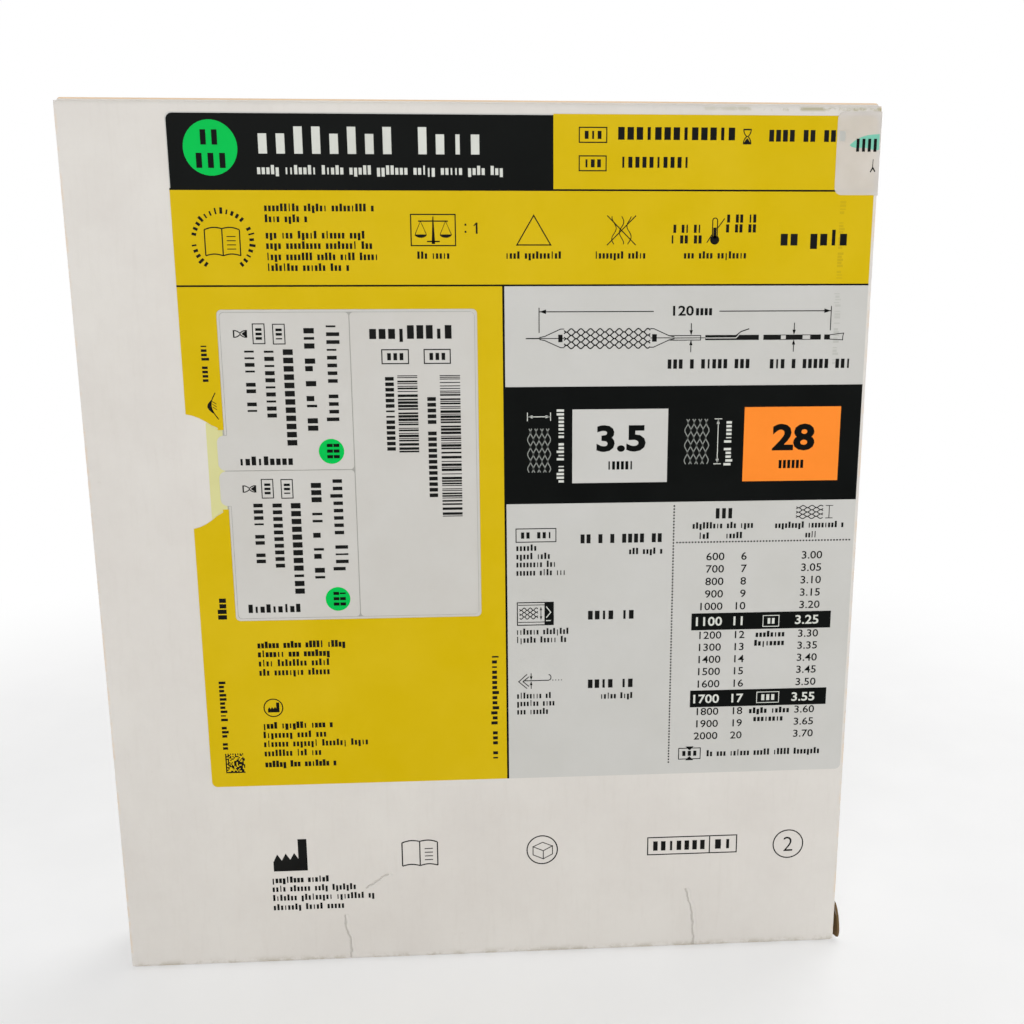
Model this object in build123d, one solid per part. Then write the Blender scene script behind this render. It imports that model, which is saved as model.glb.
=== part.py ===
from build123d import *
import math
import os

os.makedirs("parts", exist_ok=True)

# Carton, in mm: front towards -Y, standing on Z = 0
carton_width = 194.0
carton_depth = 22.0
carton_height = 223.5
board = 0.6
fold_radius = 1.25
flap_radius = 1.0
flap_reach = 0.3
edge_setback = 0.25
closure_inset = 0.7

# Slit lock: a cut at each end of the tuck flap's fold
slit_length = 11.5
slit_width = 0.3
slit_edge_gap = 0.2
sprung_depth = 9.0
sprung_clearance = 0.05
sprung_heights = [0.0, 0.8, 2.0, 4.0, 6.5, 9.0, 10.6, slit_length]
sprung_offsets = [1.70, 1.90, 1.95, 1.80, 1.50, 1.00, 0.50, 0.0]
sprung_shares = [0.0, 0.25, 0.5, 0.75, 1.0]

# Main label on the front panel
label_side = 168.0
label_right_margin = 1.0
label_top_margin = 3.1
label_corner = 1.5
label_thick = 0.10

# Window in the label for the peel-off stickers, from the label's upper left corner
window_left = 8.9
window_right = 71.3
window_top = 44.9
window_bottom = 122.7
window_corner = 1.2
cut_gap = 0.1
liner_thick = 0.06
sticker_thick = 0.10
surround_width = 0.6
split_across = 40.4
split_down = 84.0
sticker_corner = 1.0

# Thumb notch through the label's left side
notch_top = 69.9
notch_bottom = 98.5
notch_upper_drop = 4.0
notch_lower_rise = 4.8
notch_shares = [0.0, 0.32, 0.63, 1.0]
notch_bends = [0.0, 0.23, 0.68, 1.0]
notch_lap = 0.6
notch_past = 1.0
tongue_lap = 3.0
tongue_corner = 0.5
tongue_left = 4.6
tongue_top = 71.9
tongue_bottom = 96.3
tab_left = 7.1
tab_height = 8.7
tab_corner = 1.7
tab_lap = 5.0

# Sticker that wraps from the front round the right end
wrap_thick = 0.08
wrap_left = 158.2
wrap_overlap = 1.0
wrap_height = 19.2
wrap_corner = 1.7
wrap_bend = 0.35
wrap_end_length = 16.0

half_width = carton_width / 2
half_depth = carton_depth / 2
label_left = half_width - label_right_margin - label_side
label_top = carton_height - label_top_margin


def closed_face(edges):
    return Face(Wire(edges))


def polygon_face(points):
    return closed_face(Polyline(*points, close=True).edges())


def tucked_offset(reach):
    # Depth of a tucked fold's outside below the panel that covers it
    return flap_radius - math.sqrt(flap_radius ** 2 - reach ** 2)


def box_between(low, high):
    size = [b - a for a, b in zip(low, high)]
    middle = [(a + b) / 2 for a, b in zip(low, high)]
    return Pos(*middle) * Box(*size)


def label_rect(left, top, right, bottom, radius):
    # Rectangle in label coordinates: right from its left edge, down from its top edge
    centre = Pos(label_left + (left + right) / 2, label_top - (top + bottom) / 2)
    return centre * RectangleRounded(right - left, bottom - top, radius)


def front_sheet(face, start, thick):
    # Sheet on the front panel, its back face lying start mm in front of the board
    return extrude(Plane.XZ.offset(half_depth + start) * face, thick)


# Section across the panels: three open folds, and the seam where the top panel's
# raw edge lies on the glue flap that is folded back from the front panel
def panel_section():
    y0 = half_depth
    h = carton_height
    r = fold_radius
    flap_z = h - board
    seam_y = -y0 + r - flap_reach
    flap_angle = math.degrees(math.asin(flap_reach / r))
    groove_z = flap_z - r * (1 - math.cos(math.radians(flap_angle)))
    edges = [
        Line((-y0 + r, 0), (y0 - r, 0)),
        CenterArc((y0 - r, r), r, -90, 90),
        Line((y0, r), (y0, h - r)),
        CenterArc((y0 - r, h - r), r, 0, 90),
        Line((y0 - r, h), (seam_y, h)),
        Line((seam_y, h), (seam_y, groove_z)),
        CenterArc((-y0 + r, flap_z - r), r, 90 + flap_angle, 90 - flap_angle),
        Line((-y0, flap_z - r), (-y0, r)),
        CenterArc((-y0 + r, r), r, 180, 90),
    ]
    return closed_face(edges)


# Plan: the front panel's raw edges, the tuck flaps behind it and the rear folds
def plan_section():
    x0 = half_width
    y0 = half_depth
    r = fold_radius
    edge_x = x0 - edge_setback
    inner_y = -y0 + board
    groove_x = x0 - flap_radius + flap_reach
    groove_y = inner_y + tucked_offset(flap_reach)
    fold_y = inner_y + flap_radius
    flap_angle = math.degrees(math.asin(flap_reach / flap_radius))
    edges = [
        Line((-edge_x, -y0), (edge_x, -y0)),
        Line((edge_x, -y0), (edge_x, inner_y)),
        Line((edge_x, inner_y), (groove_x, inner_y)),
        Line((groove_x, inner_y), (groove_x, groove_y)),
        CenterArc((x0 - flap_radius, fold_y), flap_radius, flap_angle - 90, 90 - flap_angle),
        Line((x0, fold_y), (x0, y0 - r)),
        CenterArc((x0 - r, y0 - r), r, 0, 90),
        Line((x0 - r, y0), (-x0 + r, y0)),
        CenterArc((-x0 + r, y0 - r), r, 90, 90),
        Line((-x0, y0 - r), (-x0, fold_y)),
        CenterArc((-x0 + flap_radius, fold_y), flap_radius, 180, 90 - flap_angle),
        Line((-groove_x, groove_y), (-groove_x, inner_y)),
        Line((-groove_x, inner_y), (-edge_x, inner_y)),
        Line((-edge_x, inner_y), (-edge_x, -y0)),
    ]
    return closed_face(edges)


# Elevation: the dust flaps fold in under the closure panels' raw edges
def elevation_section():
    x0 = half_width
    h = carton_height
    inner_x = x0 - board
    centre_x = inner_x - flap_radius
    reach = flap_radius - closure_inset
    step_x = inner_x - tucked_offset(reach)
    flap_angle = math.degrees(math.asin(reach / flap_radius))
    edges = [
        Line((-centre_x, 0), (centre_x, 0)),
        CenterArc((centre_x, flap_radius), flap_radius, -90, 90 - flap_angle),
        Line((step_x, closure_inset), (x0, closure_inset)),
        Line((x0, closure_inset), (x0, h - closure_inset)),
        Line((x0, h - closure_inset), (step_x, h - closure_inset)),
        CenterArc((centre_x, h - flap_radius), flap_radius, flap_angle, 90 - flap_angle),
        Line((centre_x, h), (-centre_x, h)),
        CenterArc((-centre_x, h - flap_radius), flap_radius, 90, 90 - flap_angle),
        Line((-step_x, h - closure_inset), (-x0, h - closure_inset)),
        Line((-x0, h - closure_inset), (-x0, closure_inset)),
        Line((-x0, closure_inset), (-step_x, closure_inset)),
        CenterArc((-centre_x, flap_radius), flap_radius, 180 + flap_angle, 90 - flap_angle),
    ]
    return closed_face(edges)


def folded_block():
    across = extrude(Plane.YZ * panel_section(), carton_width, both=True)
    plan = extrude(plan_section(), carton_height)
    elevation = extrude(Plane.XZ * elevation_section(), carton_depth, both=True)
    return across & plan & elevation


def slit_lock(side, low_z, high_z, slit_low):
    # Square raw edge of the closure panel beyond the slit, and the slit itself
    inner = side * (half_width - board)
    outer = side * half_width
    x_low = min(inner, outer)
    x_high = max(inner, outer)
    edge_y = -half_depth + board + slit_edge_gap
    fold_y = -half_depth + board + flap_radius + 0.1
    panel_edge = box_between((x_low, edge_y, low_z), (x_high, fold_y, high_z))
    slit = box_between((x_low, edge_y - slit_edge_gap, slit_low), (x_high, fold_y, slit_low + slit_width))
    return panel_edge, slit


def sprung_corner_tab():
    # Corner of the right closure panel that has sprung out below the slit
    front_y = -half_depth + board + slit_edge_gap
    rear_y = -half_depth + sprung_depth
    rings = []
    for height, offset in zip(sprung_heights, sprung_offsets):
        z = closure_inset + height
        outside = []
        inside = []
        for share in sprung_shares:
            x = half_width + offset * share ** 2
            y = rear_y + (front_y - rear_y) * share
            outside.append((x, y, z))
            inside.append((x - board, y, z))
        rings.append(outside + inside[::-1])
    faces = [polygon_face(rings[0]), polygon_face(rings[-1])]
    for low, high in zip(rings, rings[1:]):
        for i in range(len(low)):
            j = (i + 1) % len(low)
            faces.append(polygon_face([low[i], low[j], high[j]]))
            faces.append(polygon_face([low[i], high[j], high[i]]))
    return Part() + Solid(Shell(faces))


def make_carton():
    body = folded_block()
    slit_top = closure_inset + slit_length
    mirror_low = carton_height - slit_top
    fold_y = -half_depth + board + flap_radius + 0.1
    for side in (-1, 1):
        panel_edge, slit = slit_lock(side, mirror_low, carton_height - closure_inset, mirror_low - slit_width)
        body = body + panel_edge - slit
    panel_edge, slit = slit_lock(-1, closure_inset, slit_top, slit_top)
    body = body + panel_edge - slit
    gap_x = half_width - board - sprung_clearance
    gap_low = (gap_x, -half_depth + board, 0)
    gap_high = (half_width + 1, -half_depth + sprung_depth, slit_top)
    body = body - box_between(gap_low, gap_high)
    slit_low = (gap_x, -half_depth + board, slit_top)
    slit_high = (half_width, fold_y, slit_top + slit_width)
    body = body - box_between(slit_low, slit_high)
    return body + sprung_corner_tab()


# Outline of the thumb notch, open to the left and into the sticker window
def notch_face(inset):
    reach = window_left + notch_lap
    top = notch_top + inset
    bottom = notch_bottom - inset
    upper = [(label_left - notch_past, label_top - top)]
    lower = [(label_left - notch_past, label_top - bottom)]
    for share, bend in zip(notch_shares, notch_bends):
        x = label_left + share * reach
        upper.append((x, label_top - top - bend * notch_upper_drop))
        lower.append((x, label_top - bottom + bend * notch_lower_rise))
    edges = [Spline(*upper), Line(upper[-1], lower[-1]), Spline(*lower), Line(lower[0], upper[0])]
    return closed_face(edges)


def window_face(inset):
    left = window_left + inset
    right = window_right - inset
    top = window_top + inset
    bottom = window_bottom - inset
    return label_rect(left, top, right, bottom, window_corner)


def make_main_label():
    outline = label_rect(0, 0, label_side, label_side, label_corner)
    return front_sheet(outline - window_face(0) - notch_face(0), 0, label_thick)


def make_liner():
    tongue = label_rect(tongue_left, tongue_top, window_left + tongue_lap, tongue_bottom, tongue_corner)
    return front_sheet(window_face(cut_gap) + (tongue & notch_face(cut_gap)), 0, liner_thick)


def chart_face(upper, grow):
    left = window_left + surround_width + cut_gap - grow
    right = split_across - cut_gap + grow
    if upper:
        top = window_top + surround_width + cut_gap
        bottom = split_down - cut_gap
        tab_top = bottom - tab_height
        tab_bottom = bottom
    else:
        top = split_down + cut_gap
        bottom = window_bottom - surround_width - cut_gap
        tab_top = top
        tab_bottom = top + tab_height
    face = label_rect(left, top - grow, right, bottom + grow, sticker_corner)
    tab = label_rect(tab_left - grow, tab_top - grow, left + tab_lap, tab_bottom + grow, tab_corner)
    return face + tab


def record_face(grow):
    left = split_across + cut_gap - grow
    right = window_right - surround_width - cut_gap + grow
    top = window_top + surround_width + cut_gap - grow
    bottom = window_bottom - surround_width - cut_gap + grow
    return label_rect(left, top, right, bottom, sticker_corner)


def make_surround():
    # Narrow border left round the peel-off stickers, broken at the thumb notch
    inner = window_face(surround_width)
    face = window_face(cut_gap) - inner - chart_face(True, cut_gap) - chart_face(False, cut_gap)
    gap_left = label_left + tab_left - 1
    gap_top = label_top - (split_down - tab_height - cut_gap)
    gap_bottom = label_top - (split_down + tab_height + cut_gap)
    gap = Pos((gap_left + label_left + window_left + 2) / 2, (gap_top + gap_bottom) / 2)
    gap = gap * Rectangle(label_left + window_left + 2 - gap_left, gap_top - gap_bottom)
    return front_sheet(face - gap, liner_thick, sticker_thick)


def make_wrap():
    # Flat on the label, bent round the end, flat on the end panel
    near = half_depth + label_thick
    bend_x = half_width - wrap_bend
    bend_y = -near + wrap_bend
    start_x = label_left + wrap_left
    end_y = bend_y + wrap_end_length
    outer = wrap_bend + wrap_thick
    edges = [
        Line((start_x, -near), (bend_x, -near)),
        CenterArc((bend_x, bend_y), wrap_bend, -90, 90),
        Line((half_width, bend_y), (half_width, end_y)),
        Line((half_width, end_y), (half_width + wrap_thick, end_y)),
        Line((half_width + wrap_thick, end_y), (half_width + wrap_thick, bend_y)),
        CenterArc((bend_x, bend_y), outer, -90, 90),
        Line((bend_x, -near - wrap_thick), (start_x, -near - wrap_thick)),
        Line((start_x, -near - wrap_thick), (start_x, -near)),
    ]
    low_z = label_top + wrap_overlap - wrap_height
    strip = extrude(Plane.XY.offset(low_z) * closed_face(edges), wrap_height, dir=(0, 0, 1))
    r = wrap_corner
    trims = []
    for z, up in ((low_z, 1), (low_z + wrap_height, -1)):
        near_cut = Pos(start_x, z) * (Rectangle(2 * r, 2 * r) - Pos(r, up * r) * Circle(r))
        trims.append(extrude(Plane.XZ.offset(half_depth - 1) * near_cut, 3))
        far_cut = Pos(end_y, z) * (Rectangle(2 * r, 2 * r) - Pos(-r, up * r) * Circle(r))
        trims.append(extrude(Plane.YZ.offset(half_width - 1) * far_cut, 3))
    for trim in trims:
        strip = strip - trim
    return strip


nodes = {
    "carton": make_carton(),
    "main_label": make_main_label(),
    "sticker_liner": make_liner(),
    "sticker_surround": make_surround(),
    "record_sticker": front_sheet(record_face(0), liner_thick, sticker_thick),
    "chart_sticker_upper": front_sheet(chart_face(True, 0), liner_thick, sticker_thick),
    "chart_sticker_lower": front_sheet(chart_face(False, 0), liner_thick, sticker_thick),
    "wrap_sticker": make_wrap(),
}

for name, shape in nodes.items():
    export_step(shape, f"parts/{name}.step")
    box = shape.bounding_box()
    print(name, len(shape.solids()), shape.is_valid, round(shape.volume, 3), box.min, box.max)
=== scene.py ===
import bpy
import bmesh
import math
import numpy as np
from mathutils import Matrix, Vector


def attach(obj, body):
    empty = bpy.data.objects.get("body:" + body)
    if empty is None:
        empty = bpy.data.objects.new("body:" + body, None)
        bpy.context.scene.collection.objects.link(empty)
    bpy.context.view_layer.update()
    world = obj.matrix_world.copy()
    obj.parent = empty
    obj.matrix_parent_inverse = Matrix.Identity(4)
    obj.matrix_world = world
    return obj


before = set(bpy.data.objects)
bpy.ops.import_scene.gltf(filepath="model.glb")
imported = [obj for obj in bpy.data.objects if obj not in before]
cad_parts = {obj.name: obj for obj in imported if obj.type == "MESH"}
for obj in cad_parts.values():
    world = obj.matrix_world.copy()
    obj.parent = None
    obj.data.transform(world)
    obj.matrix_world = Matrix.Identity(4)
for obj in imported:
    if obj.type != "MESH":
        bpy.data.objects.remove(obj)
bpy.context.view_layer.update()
print("frame loaded:", ", ".join(sorted(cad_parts)))

mm = 0.001

# The front panel in mm. The label is laid out on a square of 175 steps, counted right and down from its
# upper left corner
panel = {"right": 97.0, "front": -11.0, "back": 11.0, "top": 223.5}
layout = {"labelLeft": -72.0, "labelTop": 220.4, "step": 0.96}


def linear(code):
    # sRGB hex to linear, with alpha
    parts = np.array([int(code[i:i + 2], 16) for i in (1, 3, 5)]) / 255
    return (*np.where(parts <= 0.04045, parts / 12.92, ((parts + 0.055) / 1.055) ** 2.4), 1.0)


def addNode(tree, kind, settings=None, links=None, output=0):
    # One node: settings go to its properties, sockets or colour stops. Links are its sockets by name
    # or in order, each given another node's output or a plain value. The output asked for comes back.
    node = tree.nodes.new("ShaderNode" + kind)
    for name, value in (settings or {}).items():
        if name == "stops":
            for element, (place, colour) in zip(node.color_ramp.elements, value):
                element.position = place
                element.color = linear(colour)
        elif name in node.inputs:
            node.inputs[name].default_value = value
        else:
            setattr(node, name, value)
    for name, source in links.items() if isinstance(links, dict) else enumerate(links or ()):
        if isinstance(source, bpy.types.NodeSocket):
            tree.links.new(source, node.inputs[name])
        else:
            node.inputs[name].default_value = linear(source) if isinstance(source, str) else source
    return node.outputs[output]


def newMaterial(name, roughness, specular):
    # a material with its shader's roughness and specular level set
    material = bpy.data.materials.new(name)
    material.use_nodes = True
    tree = material.node_tree
    shader = tree.nodes["Principled BSDF"]
    shader.inputs["Roughness"].default_value = roughness
    shader.inputs["Specular IOR Level"].default_value = specular
    return material, tree, shader


def printedPaper(name, base, mottle, roughness):
    # ink or coating on smooth paper: nearly even, with faint cloudiness and fibre tooth about 0.2 mm across
    material, tree, shader = newMaterial(name, roughness, 0.04)
    place = addNode(tree, "TexCoord", output="Object")
    cloud = addNode(tree, "TexNoise", {"Scale": 55.0, "Detail": 5.0, "Roughness": 0.6}, {"Vector": place})
    tone = addNode(tree, "ValToRGB", {"stops": [(0.32, base), (0.72, mottle)]}, {"Fac": cloud})
    tree.links.new(tone, shader.inputs["Base Color"])
    rough = addNode(tree, "MapRange", {"To Min": roughness - 0.05, "To Max": roughness + 0.07},
        {"Value": cloud})
    tree.links.new(rough, shader.inputs["Roughness"])
    tooth = addNode(tree, "TexNoise", {"Scale": 1000 / 0.18 / 4, "Detail": 3.0}, {"Vector": place})
    relief = addNode(tree, "Bump", {"Strength": 0.25, "Distance": 0.02 * mm}, {"Height": tooth})
    tree.links.new(relief, shader.inputs["Normal"])
    return material


# Inks on the label, from the photograph: black is a dense offset black, yellow a flat spot colour
inks = {
    "black": printedPaper("offsetBlackInk", "#070908", "#0E100F", 0.42),
    "fineBlack": printedPaper("thermalBlackPrint", "#101110", "#1D1D1C", 0.50),
    "yellow": printedPaper("yellowSpotInk", "#D6B718", "#D1B206", 0.46),
    "orange": printedPaper("orangeSpotInk", "#FF8F33", "#F98A2E", 0.46),
    "green": printedPaper("greenSpotInk", "#02C452", "#05BC4E", 0.44),
    "teal": printedPaper("tealMarkerInk", "#7FC7B0", "#74BDA6", 0.50),
    "white": printedPaper("labelPaperWhite", "#CBCAC6", "#C6C5C0", 0.48),
    "sticker": printedPaper("stickerPaperWhite", "#CECCC7", "#C9C6C0", 0.45),
    "reversed": printedPaper("paperShowingThroughBlack", "#D9DBD4", "#D0D2CA", 0.48),
    "paleGrey": printedPaper("fineWhiteLinesOnBlack", "#8E918C", "#858883", 0.50),
    "ghostYellow": printedPaper("setOffOnYellow", "#C4A619", "#CDAE14", 0.46),
    "ghostWhite": printedPaper("setOffOnPaper", "#B9B9B3", "#C0C0BA", 0.48),
}
print("inks and papers:", len(inks))


# The shapes drawn so far, by piece and ink. A pen is (piece, ink, low, high): low and high are the
# print's rear and front face, in mm out from the front panel.
store = {}


def columns(*parts):
    # plain values and arrays side by side as the columns of one array
    return np.stack(np.broadcast_arrays(*parts), -1)


def prisms(pen, corners):
    # k four-cornered plates: corners (k, 4, 2); each is a closed box of 8 points and 6 faces
    corners = np.asarray(corners, float).reshape(-1, 4, 2)
    x, z = corners[..., 0], -corners[..., 1]
    area = (x * np.roll(z, -1, 1) - np.roll(x, -1, 1) * z).sum(1)
    corners = np.where((area < 0)[:, None, None], corners[:, ::-1], corners)
    count = len(corners)
    points = np.concatenate([corners, corners], 1)
    depth = np.concatenate([np.full((count, 4), pen[3]), np.full((count, 4), pen[2])], 1)
    box = np.array([[0, 1, 2, 3], [7, 6, 5, 4], [1, 0, 4, 5], [2, 1, 5, 6], [3, 2, 6, 7], [0, 3, 7, 4]])
    faces = box[None] + 8 * np.arange(count)[:, None, None]
    store.setdefault(pen[:2], []).append((points.reshape(-1, 2), depth.ravel(), faces.reshape(-1, 4)))


def rects(pen, boxes):
    # boxes (k, 4): left, top, right, bottom
    b = np.asarray(boxes, float).reshape(-1, 4)
    corners = np.stack([b[:, [0, 1]], b[:, [2, 1]], b[:, [2, 3]], b[:, [0, 3]]], 1)
    prisms(pen, corners)


def ribbon(pen, a, b, closed=False):
    # the strip between two curves of n points each, as a closed solid
    a, b = np.asarray(a, float), np.asarray(b, float)
    n = len(a)
    i = np.arange(n if closed else n - 1)
    j = (i + 1) % n
    quad = np.stack([a[i], a[j], b[j], b[i]], 1)
    x, z = quad[..., 0], -quad[..., 1]
    if (x * np.roll(z, -1, 1) - np.roll(x, -1, 1) * z).sum() < 0:
        a, b = b, a
    points = np.concatenate([a, b, a, b])
    depth = np.concatenate([np.full(2 * n, pen[3]), np.full(2 * n, pen[2])])
    at, bt, ab, bb = 0, n, 2 * n, 3 * n
    faces = [
        np.stack([at + i, at + j, bt + j, bt + i], 1), np.stack([ab + j, ab + i, bb + i, bb + j], 1),
        np.stack([at + j, at + i, ab + i, ab + j], 1), np.stack([bt + i, bt + j, bb + j, bb + i], 1),
    ]
    if not closed:
        m = n - 1
        faces.append(np.array([[at, bt, bb, ab], [bt + m, at + m, ab + m, bb + m]]))
    store.setdefault(pen[:2], []).append((points, depth, np.concatenate(faces)))


def stroke(pen, path, width, closed=False):
    # a line of even width: the path moved half the width to each side along its normals
    p = np.asarray(path, float)
    ahead = np.roll(p, -1, 0) - p if closed else np.diff(p, axis=0, append=2 * p[-1:] - p[-2:-1])
    back = np.roll(ahead, 1, 0) if closed else np.concatenate([ahead[:1], ahead[:-1]])
    unitA = ahead / np.maximum(np.linalg.norm(ahead, axis=1, keepdims=True), 1e-9)
    unitB = back / np.maximum(np.linalg.norm(back, axis=1, keepdims=True), 1e-9)
    tangent = unitA + unitB
    tangent /= np.maximum(np.linalg.norm(tangent, axis=1, keepdims=True), 1e-9)
    normal = np.stack([-tangent[:, 1], tangent[:, 0]], 1)
    mitre = np.maximum((normal * np.stack([-unitA[:, 1], unitA[:, 0]], 1)).sum(1, keepdims=True), 0.5)
    offset = normal * width / 2 / mitre
    ribbon(pen, p + offset, p - offset, closed)


def roundField(u0, v0, u1, v1, radii, steps=9):
    # top and bottom edge curves of a rectangle with its own radius at each corner (tl, tr, br, bl)
    tl, tr, br, bl = [max(r, 1e-4) for r in radii]
    turn = np.linspace(0, math.pi / 2, steps)
    leftR, rightR = max(tl, bl), max(tr, br)
    u = np.concatenate([u0 + leftR * (1 - np.cos(turn)), u1 - rightR * (1 - np.cos(turn[::-1]))])
    drop = np.zeros_like(u)
    rise = np.zeros_like(u)
    for r, away, target in ((tl, u - u0, drop), (tr, u1 - u, drop), (bl, u - u0, rise), (br, u1 - u, rise)):
        inside = np.clip(r - away, 0, r)
        target += r - np.sqrt(np.maximum(r * r - inside ** 2, 0))
    return columns(u, v0 + drop), columns(u, v1 - rise)


def circle(cu, cv, r, n=48, start=0.0, sweep=2 * math.pi, closed=True):
    # points on a circle, or on an arc of it from start through sweep
    t = start + sweep * np.arange(n) / (n if closed else n - 1)
    return columns(cu + r * np.cos(t), cv + r * np.sin(t))


def disc(pen, cu, cv, r, n=40):
    # between the upper and the lower half of the circle
    t = np.linspace(math.pi, 0, n // 2)
    c, s = np.cos(t), np.maximum(np.sin(t), 1e-3)
    ribbon(pen, columns(cu + r * c, cv - r * s), columns(cu + r * c, cv + r * s))


def frameLine(pen, u0, v0, u1, v1, width):
    # a rectangle drawn in one line
    stroke(pen, [(u0, v0), (u1, v0), (u1, v1), (u0, v1)], width, closed=True)


def wordMarks(pen, u, v, length, height, turned=0, bold=0.5, words=None, seed=0, tall=0.26):
    # A line of print as plain blocks in word groups: u, v is the start of its base line, length runs along
    # it.
    # turned 0 reads right, 1 reads down the panel, -1 reads up; words are the group sizes, tall the share
    # of full-height blocks
    local = np.random.default_rng(1000 + seed + int(u * 7) + int(v * 13))
    count = sum(words) + len(words) - 1 if words else max(int(round(length / (height * 0.52))), 1)
    pitch = length / count
    marks, place = [], 0
    while not words and place < count - 2:
        place += int(local.integers(3, 10)) + 1
        marks.append(place - 1)
    if words:
        marks = (np.cumsum(np.array(words) + 1) - 1).tolist()
    gaps = np.ones(count, bool)
    gaps[[mark for mark in marks if mark < count - 1]] = False
    at = np.arange(count)[gaps] * pitch
    kind = local.random(len(at))
    top = np.where(kind <= tall, 1.0, 0.74) * height
    foot = np.where((kind > 0.93) & (tall < 1), -0.22, 0.0) * height
    slim = local.random(len(at)) < 0.16
    wide = pitch * (0.58 + 0.20 * bold) * np.where(slim, 0.5, 1.0)
    along0 = at + 0.5 * (pitch * 0.9 - wide)
    along1 = along0 + wide
    if turned == 0:
        boxes = columns(u + along0, v - top, u + along1, v - foot)
    elif turned == 1:
        boxes = columns(u + foot, v + along0, u + top, v + along1)
    else:
        boxes = columns(u - top, v - along1, u - foot, v - along0)
    rects(pen, boxes)


def numberMarks(pen, text, u, v, height, align="CENTER", bold=0.0, wide=1.0):
    # Plain numbers from the built-in font, made a mesh before they are placed: u, v is the middle of the
    # base line
    data = bpy.data.curves.new("numbers", "FONT")
    data.body = text
    data.align_x = align
    data.size = height / 0.70
    data.resolution_u = 3
    data.offset = bold * data.size
    data.extrude = 0.5
    carrier = bpy.data.objects.new("numbers", data)
    bpy.context.collection.objects.link(carrier)
    bpy.context.view_layer.update()
    mesh = bpy.data.meshes.new_from_object(carrier.evaluated_get(bpy.context.evaluated_depsgraph_get()))
    work = bmesh.new()
    work.from_mesh(mesh)
    bmesh.ops.remove_doubles(work, verts=work.verts, dist=1e-5)
    bmesh.ops.triangulate(work, faces=work.faces)
    work.to_mesh(mesh)
    work.free()
    co = np.empty(3 * len(mesh.vertices))
    mesh.vertices.foreach_get("co", co)
    co = co.reshape(-1, 3)
    tri = np.empty(3 * len(mesh.polygons), int)
    mesh.polygons.foreach_get("vertices", tri)
    tri = tri.reshape(-1, 3)
    points = columns(u + wide * co[:, 0], v - co[:, 1])
    depth = np.where(co[:, 2] > 0, pen[3], pen[2])
    store.setdefault(pen[:2], []).append((points, depth, np.column_stack([tri, tri[:, 2]])))
    bpy.data.objects.remove(carrier)
    bpy.data.curves.remove(data)
    bpy.data.meshes.remove(mesh)


def layoutToWorld(points, depth):
    # right and down on the label become +X and -Z; the depth stands out towards -Y
    x = layout["labelLeft"] + layout["step"] * points[:, 0]
    z = layout["labelTop"] - layout["step"] * points[:, 1]
    return columns(x, panel["front"] - depth, z) * mm


def finishPiece(name):
    # joins the stored shapes of a piece into one mesh, one material for each ink used
    keys = [key for key in store if key[0] == name]
    mesh = bpy.data.meshes.new(name)
    allPoints, allFaces, index, offset = [], [], [], 0
    for number, key in enumerate(keys):
        mesh.materials.append(inks[key[1]])
        for points, depth, faces in store[key]:
            allPoints.append(layoutToWorld(points, depth))
            allFaces.append(faces + offset)
            index.append(np.full(len(faces), number))
            offset += len(points)
    points, faces, index = np.concatenate(allPoints), np.concatenate(allFaces), np.concatenate(index)
    three = faces[:, 2] == faces[:, 3]
    polygons = [face[:3] if short else face for face, short in zip(faces.tolist(), three.tolist())]
    mesh.from_pydata(points.tolist(), [], polygons)
    mesh.polygons.foreach_set("material_index", index)
    mesh.update()
    piece = bpy.data.objects.new(name, mesh)
    bpy.context.collection.objects.link(piece)
    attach(piece, "root")
    print("piece", name, len(points), "points")


fields = {
    "side": 175.0, "corner": 1.56, "headerSplit": 93.7, "headerFoot": 17.7, "bandTop": 18.15,
    "bandFoot": 40.8,
    "ruleFoot": 41.25, "columnSplit": 80.7, "columnStart": 81.25, "blackTop": 66.6, "blackFoot": 97.3,
    "window": (9.27, 46.77, 74.27, 127.8), "windowCorner": 1.25, "notch": (72.8, 102.6), "notchLap": 0.625,
    "rim": 1.5, "low": 0.09, "high": 0.115,
}


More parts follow.
